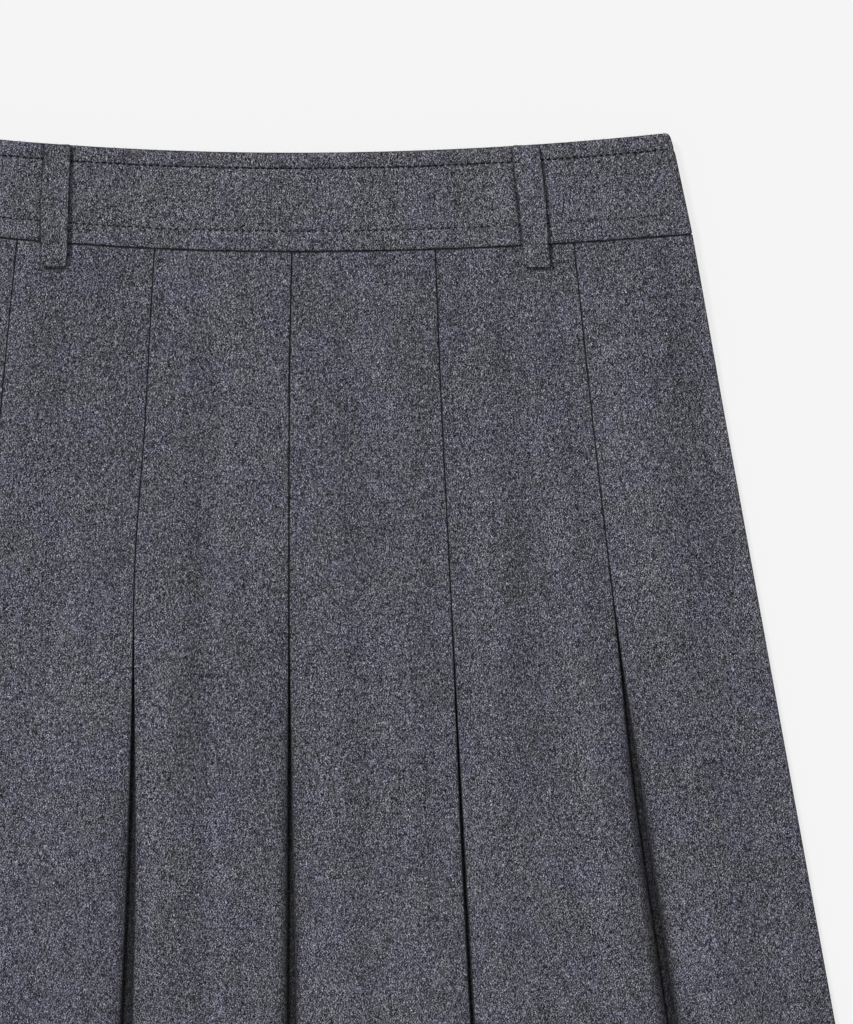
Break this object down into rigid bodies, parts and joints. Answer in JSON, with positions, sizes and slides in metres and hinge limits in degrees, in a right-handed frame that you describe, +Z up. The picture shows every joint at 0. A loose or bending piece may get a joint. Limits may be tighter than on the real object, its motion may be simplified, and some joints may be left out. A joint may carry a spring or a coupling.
{
  "type": "pleated midi skirt",
  "caption": "Flat-laid A-line midi skirt with inverted pleats stitched down below a topstitched waistband, belt loops and a side zip.",
  "frame": {"origin": "centre of the skirt's outline on the surface that it lies on", "axes": "+Y up the skirt towards the waist, +X to the right as the front is seen, +Z up from the surface through the front"},
  "size_m": [0.6312, 0.7914, 0.0127],
  "materials": {
    "skirt_flannel": "matt brushed wool melange",
    "waistband_flannel": "matt brushed wool melange",
    "loop_flannel": "matt brushed wool melange",
    "zip_metal": "dark grey enamel"
  },
  "bodies": {
    "skirt": {"skirt_front": "skirt_flannel", "skirt_back": "skirt_flannel", "waistband_front": "waistband_flannel", "waistband_back": "waistband_flannel", "belt_loop_front_left": "loop_flannel", "belt_loop_front_right": "loop_flannel", "belt_loop_back_left": "loop_flannel", "belt_loop_back_centre": "loop_flannel", "belt_loop_back_right": "loop_flannel", "zip_slider": "zip_metal"},
    "pull_tab": {"zip_pull": "zip_metal"}
  },
  "joints": [
    {"name": "pull_tab_swing", "type": "hinge", "parent": "skirt", "child": "pull_tab", "pos_m": [-0.17882, 0.38737, 0.0051], "axis": [0, 0, -1], "range_deg": [0, 175]}
  ]
}
